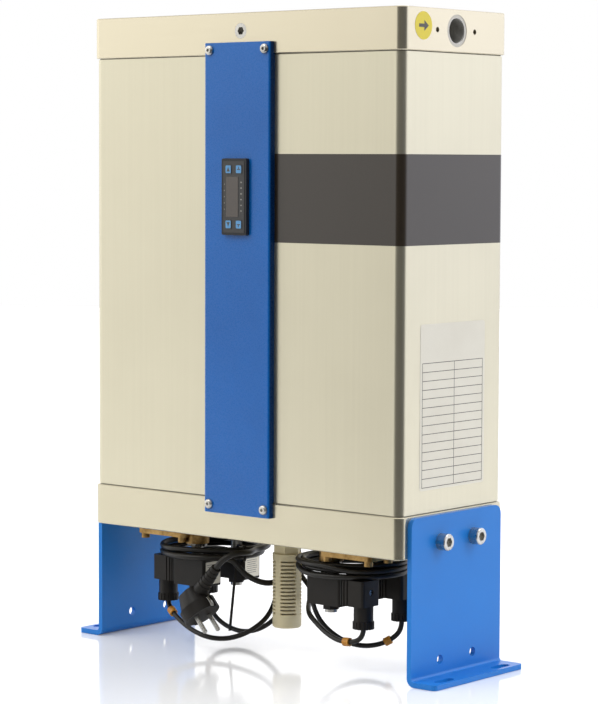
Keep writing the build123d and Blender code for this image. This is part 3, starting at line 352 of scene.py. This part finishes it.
# Places of the turns in a loop's section, as radius and height, in the order that they are wound
right_cells = [(0.0533, 0.0929), (0.0533, 0.098), (0.0533, 0.1031), (0.0477, 0.1031), (0.0477, 0.098),
               (0.0477, 0.0929)]
right_rear = cord_curve("cable_right_rear", [
    (0.1265, 0.013, 0.043),
    (0.1265, 0.013, 0.035),
    (0.121, 0.009, 0.026),
    (0.110, 0.002, 0.019),
    (0.097, -0.008, 0.0165),
    (0.084, -0.018, 0.020),
    (0.071, -0.025, 0.028),
    (0.058, -0.028, 0.039),
    (0.047, -0.026, 0.053),
    (0.0392, -0.0215, 0.071),
    (0.0362, -0.0185, 0.085),
    (0.0355, -0.0135, 0.0925),
    *wound((LOOP_X, LOOP_Y), 170, 1802, -1, right_cells, 24),
    (0.0435, 0.0, 0.092),
    (0.045, 0.0075, 0.087),
    (0.042, 0.012, 0.0775),
    (0.033, 0.019, 0.066),
    (0.014, 0.028, 0.065),
    (-0.005, 0.028, 0.075),
    (-0.0124, 0.0223, 0.088),
    (-0.0124, 0.0223, 0.105),
], cable_d, "cable")
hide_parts("valve_cable_right_rear", "valve_cable_coil", "valve_cable_tail")

left_cells = [(0.0537, 0.0998), (0.0473, 0.0998), (0.0473, 0.0935), (0.0537, 0.0935)]
mains = cord_curve("mains_cord", [
    (-0.038758, -0.073, 0.087054),
    (-0.031687, -0.073, 0.095481),
    (-0.024, -0.064, 0.102),
    (-0.022, -0.050, 0.1015),
    (-0.026, -0.034, 0.0998),
    (-0.0347, -0.0195, 0.0998),
    *wound((-LOOP_X, LOOP_Y), 12, 1028, 1, left_cells, 28),
    (-0.0435, -0.0435, 0.0915),
    (-0.040, -0.038, 0.084),
    (-0.033, -0.032, 0.074),
    (-0.023, -0.014, 0.065),
    (-0.017, 0.008, 0.069),
    (-0.016, 0.018, 0.088),
    (-0.016, 0.018, 0.105),
], cord_d, "cable")
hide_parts("mains_cord_lead", "mains_cord_coil", "mains_cord_tail")


# Pieces that the solids leave to this script
def piece(name, mesh, material, bevel=0.0, segments=2):
    """A rigid piece on the dryer's one body."""
    mesh.materials.append(material)
    obj = bpy.data.objects.new(name, mesh)
    scene.collection.objects.link(obj)
    if bevel:
        modifier = obj.modifiers.new("bevel", "BEVEL")
        modifier.width = bevel
        modifier.segments = segments
        modifier.limit_method = "ANGLE"
    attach(obj, "root")
    return obj


def mesh_from(bm, name):
    mesh = bpy.data.meshes.new(name)
    bm.to_mesh(mesh)
    bm.free()
    return mesh


def rounded(width, height, radius, steps=5):
    """Outline of a rectangle with round corners, round its middle."""
    outline = []
    for k, (sx, sy) in enumerate(((1, 1), (-1, 1), (-1, -1), (1, -1))):
        for j in range(steps + 1):
            turn = pi / 2 * (k + j / steps)
            outline.append((sx * (width / 2 - radius) + radius * cos(turn),
                            sy * (height / 2 - radius) + radius * sin(turn)))
    return outline


def box_at(x, y, width, height):
    """Outline of a rectangle round the point x, y."""
    return [(x - width / 2, y - height / 2), (x + width / 2, y - height / 2),
            (x + width / 2, y + height / 2), (x - width / 2, y + height / 2)]


def moved(outline, x, y):
    return [(px + x, py + y) for px, py in outline]


def prisms(name, outlines, origin, u, v, thickness, material, bevel=0.0):
    """Flat outlines in the plane of u and v through origin, each thickened along u x v."""
    u, v, origin = Vector(u), Vector(v), Vector(origin)
    out = u.cross(v) * thickness
    bm = bmesh.new()
    for outline in outlines:
        low = [bm.verts.new(origin + u * x + v * y) for x, y in outline]
        high = [bm.verts.new(vert.co + out) for vert in low]
        bm.faces.new(low[::-1])
        bm.faces.new(high)
        for a, b in zip(range(len(low)), [*range(1, len(low)), 0]):
            bm.faces.new((low[a], low[b], high[b], high[a]))
    bmesh.ops.recalc_face_normals(bm, faces=bm.faces)
    return piece(name, mesh_from(bm, name), material, bevel)


def spun(name, profile, origin, axis, material, steps=64):
    """A closed ring section of (radius, along) turned round an axis."""
    axis = Vector(axis).normalized()
    side = axis.orthogonal().normalized()
    other = axis.cross(side)
    bm = bmesh.new()
    rings = []
    for k in range(steps):
        turn = 2 * pi * k / steps
        out = side * cos(turn) + other * sin(turn)
        rings.append([bm.verts.new(Vector(origin) + out * r + axis * h) for r, h in profile])
    for a, b in zip(rings, rings[1:] + rings[:1]):
        for j in range(len(profile)):
            n = (j + 1) % len(profile)
            bm.faces.new((a[j], a[n], b[n], b[j]))
    bmesh.ops.recalc_face_normals(bm, faces=bm.faces)
    for face in bm.faces:
        face.smooth = True
    return piece(name, mesh_from(bm, name), material)


X, Y, Z = (1, 0, 0), (0, 1, 0), (0, 0, 1)
FILM = 0.00004              # thickness of printing and of the lines on a label
HAIR = 0.00005              # gap between a label and what it lies on

# Dark film band round the right column, from the panel to the far corner
film = grained("band_film", srgb(44, 36, 25), srgb(53, 44, 32), (0.26, 0.34), 900.0, 0.00002, (1, 1, 1), 5.0,
               Coat_Weight=0.3, Coat_Roughness=0.1)
band_low, band_high = 0.4104, 0.4948
column_x, column_y, corner = 0.1955, 0.0805, 0.008
inner, outer = 0.00002, 0.00014     # the film's two faces, out from the column
corner_steps = 16
path = [(0.0422, -column_y, 0, -1), (0.12, -column_y, 0, -1)]       # x, y and the way out there
near_corner = [radians(-90 + 90 / corner_steps * k) for k in range(corner_steps + 1)]
far_corner = [radians(7 * k) for k in range(6)]
path += [(column_x - corner + corner * cos(turn), -column_y + corner + corner * sin(turn), cos(turn), sin(turn))
         for turn in near_corner]
path.append((column_x, 0.0, 1, 0))
path += [(column_x - corner + corner * cos(turn), column_y - corner + corner * sin(turn), cos(turn), sin(turn))
         for turn in far_corner]
bm = bmesh.new()
sections = []
for x, y, nx, ny in path:
    sections.append([bm.verts.new((x + nx * d, y + ny * d, z)) for d, z in
                     ((inner, band_low), (outer, band_low), (outer, band_high), (inner, band_high))])
for a, b in zip(sections, sections[1:]):
    for i in range(4):
        j = (i + 1) % 4
        bm.faces.new((a[i], b[i], b[j], a[j])).smooth = True
bm.faces.new(sections[0])
bm.faces.new(sections[-1][::-1])
bmesh.ops.recalc_face_normals(bm, faces=bm.faces)
for edge in bm.edges:
    edge.smooth = edge.calc_face_angle() < 0.8
band = piece("band", mesh_from(bm, "band"), film)
band.modifiers.new("normals", "WEIGHTED_NORMAL").keep_sharp = True

# Rating label: a ruled table with nothing in it
paper = grained("label_film", srgb(206, 201, 185), srgb(214, 210, 195), (0.36, 0.46), 1200.0, 0.00001,
                (1, 1, 1), 20.0, Metallic=0.6)
ink = grained("label_ink", srgb(66, 64, 60), srgb(88, 86, 80), (0.4, 0.5), 1500.0, 0.00001)
label_w, label_h, label_r = 0.102, 0.156, 0.003
label_y, label_z = -0.0005, 0.259
table_w, table_top, table_low, rule = 0.095, 0.0413, -0.0752, 0.0006
divider_y = 0.0023
row_count = 14
row_h = (table_top - table_low) / row_count
prisms("rating_label", [rounded(label_w, label_h, label_r)], (column_x + HAIR, label_y, label_z), Y, Z, 0.0001,
       paper)
rules = [box_at(0, table_low + row_h * k, table_w, rule) for k in range(row_count + 1)]
rules += [box_at(x, (table_top + table_low) / 2, rule, table_top - table_low + rule)
          for x in (-table_w / 2, divider_y, table_w / 2)]
prisms("label_rules", rules, (column_x + 0.00015, label_y, label_z), Y, Z, FILM, ink)

# Round yellow sticker at the outlet, with a plain arrow
yellow = grained("sticker_yellow", srgb(228, 206, 30), srgb(238, 218, 52), (0.3, 0.4), 900.0, 0.00001)
block_x = 0.197
sticker_r, sticker_steps = 0.013, 48
sticker_y, sticker_z = -0.052, 0.613
disc = [(sticker_r * cos(2 * pi * k / sticker_steps), sticker_r * sin(2 * pi * k / sticker_steps))
        for k in range(sticker_steps)]
prisms("outlet_sticker", [disc], (block_x + HAIR, sticker_y, sticker_z), Y, Z, 0.00012, yellow)
arrow = [(-0.007, -0.0016), (0.001, -0.0016), (0.001, -0.005), (0.0078, 0), (0.001, 0.005), (0.001, 0.0016),
         (-0.007, 0.0016)]
prisms("outlet_arrow", [arrow], (block_x + 0.00017, sticker_y, sticker_z), Y, Z, FILM, ink)

# Threads in the two ports
dark_thread = grained("thread_metal", srgb(170, 168, 162), srgb(188, 186, 180), (0.45, 0.6), 900.0, 0.00002,
                      (1, 1, 1), 60.0, Metallic=0.8)
thread_pitch, thread_turns, thread_l = 0.0018, 9, 0.0165
thread_wall, thread_root, thread_crest = 0.01206, 0.01204, 0.0114
thread = [(thread_wall, 0.0)]
for k in range(thread_turns):
    start = thread_pitch * k
    thread += [(thread_root, start), (thread_crest, start + 0.0006), (thread_crest, start + 0.0009),
               (thread_root, start + 0.0015)]
thread.append((thread_wall, thread_l))
for side, name in ((1, "outlet"), (-1, "inlet")):
    spun(f"{name}_thread", thread, (side * 0.1962, 0, PORT_Z), (-side, 0, 0), dark_thread)

# Controller: dark window, side marks and the printed keys
window = grained("window_glass", srgb(62, 52, 44), srgb(70, 60, 50), (0.12, 0.18), 800.0, 0.00001, (1, 1, 1), 30.0,
                 Coat_Weight=0.5, Coat_Roughness=0.05)
sky = grained("key_print", srgb(84, 150, 204), srgb(104, 168, 218), (0.4, 0.5), 900.0, 0.00001)
pale = grained("mark_print", srgb(150, 148, 142), srgb(170, 168, 160), (0.4, 0.5), 900.0, 0.00001)
face_y, key_y = -0.0918, -0.0923        # the membrane's face and the faces of its keys
control_z = 0.4535
prisms("controller_window", [rounded(0.0152, 0.0385, 0.0006)], (-0.0018, face_y, control_z), X, Z, 0.0003, window,
       0.0001)
marks = [box_at(0.0095, z, 0.0017, 0.0012) for z in (0.014, 0.0085, 0.003, -0.0025, -0.008, -0.0135)]
marks += [box_at(-0.0118, z, 0.0007, 0.0012) for z in (0.012, 0.006, 0.0, -0.006, -0.012)]
prisms("controller_marks", marks, (0, face_y, control_z), X, Z, 0.00005, pale)
key_x, key_z = 0.0066, 0.0265
keys, glyphs = [], []
for sx in (-1, 1):
    for sz in (-1, 1):
        x, z = sx * key_x, sz * key_z
        keys.append(moved(rounded(0.0066, 0.0074, 0.001), x, z))
        if sx < 0:
            tip = sz * 0.0022
            glyphs.append([(x - 0.0021, z - tip), (x + 0.0021, z - tip), (x, z + tip)][::sz])
        else:
            glyphs.append(box_at(x, z, 0.0038, 0.001))
            glyphs.append(box_at(x, z + 0.0014 * sz, 0.001, 0.0019))
prisms("key_prints", keys, (0, key_y, control_z), X, Z, FILM, sky)
prisms("key_glyphs", glyphs, (0, key_y - FILM, control_z), X, Z, 0.00003, ink)

# Blank labels on the solenoids' faces that look to the silencer
solenoid_face_x, solenoid_mid_z = 0.066, 0.0765
lines = [box_at(-0.001 + 0.0004 * (k % 3), 0.0082 - 0.0021 * k, 0.0165 - 0.0012 * (k % 4), 0.0005)
         for k in range(8)]
for row, y in (("front", FRONT_Y), ("rear", REAR_Y)):
    for side, out in (("left", 1), ("right", -1)):
        x = -out * solenoid_face_x
        sideways = (0, out, 0)
        prisms(f"coil_label_{side}_{row}", [rounded(0.0215, 0.0225, 0.0008)], (x + out * HAIR, y, solenoid_mid_z),
               sideways, Z, 0.0001, paper)
        prisms(f"coil_rules_{side}_{row}", lines, (x + out * 0.00016, y, solenoid_mid_z), sideways, Z, 0.00003, ink)

# Earth clips on the plug: bowed strips in its two side ways
plug_origin = Vector((-0.0561, -0.073, 0.0376))
plug_tilt = radians(49)
plug_out = Vector((cos(plug_tilt), 0, -sin(plug_tilt)))
plug_side = Vector((sin(plug_tilt), 0, cos(plug_tilt)))
clip_half_w, clip_steps = 0.0024, 8
for k, side in enumerate((-1, 1)):
    bm = bmesh.new()
    rows = []
    for j in range(clip_steps + 1):
        reach = -0.0115 + 0.0112 * j / clip_steps
        bow = 0.0175 + 0.0009 * sin(pi * j / clip_steps)
        rows.append([bm.verts.new(plug_origin + plug_side * side * bow + plug_out * reach + Vector((0, y, 0)))
                     for y in (-clip_half_w, 0.0, clip_half_w)])
    for a, b in zip(rows, rows[1:]):
        for i in range(2):
            bm.faces.new((a[i], a[i + 1], b[i + 1], b[i])).smooth = True
    bmesh.ops.recalc_face_normals(bm, faces=bm.faces)
    name = f"earth_clip_{k}"
    clip = piece(name, mesh_from(bm, name), looks["steel"])
    clip.modifiers.new("solidify", "SOLIDIFY").thickness = 0.0005

# Floor: a plain pale sheet, a little brighter to the camera than its light makes it
white = bpy.data.materials.new("floor_white")
white.use_nodes = True
floor_shader = white.node_tree.nodes["Principled BSDF"]
floor_shader.inputs["Base Color"].default_value = (0.96, 0.96, 0.96, 1)
floor_shader.inputs["Roughness"].default_value = 0.1
floor_shader.inputs["Emission Color"].default_value = (1, 1, 1, 1)
floor_rays = white.node_tree.nodes.new("ShaderNodeLightPath")
lift = white.node_tree.nodes.new("ShaderNodeMath")
lift.operation = "MULTIPLY"
lift.inputs[1].default_value = 0.12
white.node_tree.links.new(floor_rays.outputs["Is Camera Ray"], lift.inputs[0])
white.node_tree.links.new(lift.outputs["Value"], floor_shader.inputs["Emission Strength"])
floor_side, floor_behind, floor_near = 4, -6, 0.45      # its reach from the origin, as the camera sees it
floor_drop = 0.0003
sheet = [right * u + back * v - up * floor_drop for u, v in
         ((-floor_side, floor_behind), (floor_side, floor_behind), (floor_side, floor_near), (-floor_side, floor_near))]
mesh = bpy.data.meshes.new("floor")
mesh.from_pydata([tuple(v) for v in sheet], [], [(3, 2, 1, 0)])
mesh.materials.append(white)
floor = bpy.data.objects.new("floor", mesh)
scene.collection.objects.link(floor)

# Studio: white to the camera, and for the object a light that the metal mirrors as the photo shows
world = bpy.data.worlds.new("studio")
world.use_nodes = True
scene.world = world
tree = world.node_tree
tree.nodes.clear()
seen = tree.nodes.new("ShaderNodeBackground")
seen.inputs["Color"].default_value = (1, 1, 1, 1)
seen.inputs["Strength"].default_value = 1.0
light = tree.nodes.new("ShaderNodeBackground")
direction = tree.nodes.new("ShaderNodeTexCoord")


def along(vector):
    """How far a ray of the world points along a vector, from -1 to 1."""
    node = tree.nodes.new("ShaderNodeVectorMath")
    node.operation = "DOT_PRODUCT"
    node.inputs[1].default_value = vector
    tree.links.new(direction.outputs["Generated"], node.inputs[0])
    return node.outputs["Value"]


def ramp(value, low, high, to_low, to_high, kind="SMOOTHSTEP"):
    node = tree.nodes.new("ShaderNodeMapRange")
    node.interpolation_type = kind
    for socket, number in (("From Min", low), ("From Max", high), ("To Min", to_low), ("To Max", to_high)):
        node.inputs[socket].default_value = number
    tree.links.new(value, node.inputs["Value"])
    return node.outputs["Result"]


def both(kind, a, b):
    node = tree.nodes.new("ShaderNodeMath")
    node.operation = kind
    tree.links.new(a, node.inputs[0])
    tree.links.new(b, node.inputs[1])
    return node.outputs["Value"]


across, toward, height = along(right), along(back), along(up)
# The dark side of the studio, low down and where the photo was taken from
dark_side = both("MAXIMUM", ramp(toward, 0.05, 0.6, 1.0, 0.06), ramp(height, 0.25, 0.5, 0.0, 0.55))
strength = both("MULTIPLY", dark_side, ramp(across, -1.0, 1.0, 1.72, 1.6, "LINEAR"))
# Dimmer below the horizon, overhead, and on the side away from the photo's viewpoint
strength = both("MULTIPLY", strength, ramp(height, -0.2, 0.15, 0.55, 1.1))
strength = both("MULTIPLY", strength, ramp(height, 0.35, 0.85, 1.0, 0.38))
strength = both("MULTIPLY", strength, ramp(toward, -0.9, -0.3, 0.8, 1.0))
tree.links.new(strength, light.inputs["Strength"])
tint = tree.nodes.new("ShaderNodeMix")
tint.data_type = "RGBA"
tint.inputs["A"].default_value = (1.0, 0.995, 0.98, 1)
tint.inputs["B"].default_value = (1.0, 1.02, 1.12, 1)
tree.links.new(ramp(across, -0.2, 0.6, 0.0, 1.0, "LINEAR"), tint.inputs["Factor"])
tree.links.new(tint.outputs["Result"], light.inputs["Color"])
rays = tree.nodes.new("ShaderNodeLightPath")
choice = tree.nodes.new("ShaderNodeMixShader")
output = tree.nodes.new("ShaderNodeOutputWorld")
tree.links.new(rays.outputs["Is Camera Ray"], choice.inputs["Fac"])
tree.links.new(light.outputs["Background"], choice.inputs[1])
tree.links.new(seen.outputs["Background"], choice.inputs[2])
tree.links.new(choice.outputs["Shader"], output.inputs["Surface"])


def softbox(name, place, aim, width, height, power):
    data = bpy.data.lights.new(name, "AREA")
    data.shape = "RECTANGLE"
    data.size = width
    data.size_y = height
    data.energy = power
    obj = bpy.data.objects.new(name, data)
    scene.collection.objects.link(obj)
    obj.location = place
    obj.rotation_euler = (Vector(aim) - Vector(place)).to_track_quat("-Z", "Y").to_euler()


softbox("right", (1.6, 0.9, 1.7), (0.1, 0, 0.3), 1.2, 1.2, 14)
softbox("front_high", (-0.8, -1.8, 2.4), (0, 0, 0.3), 1.6, 1.2, 26)
softbox("top", (0.1, 0.3, 1.9), (0.1, 0, 0.2), 1.8, 1.8, 7)
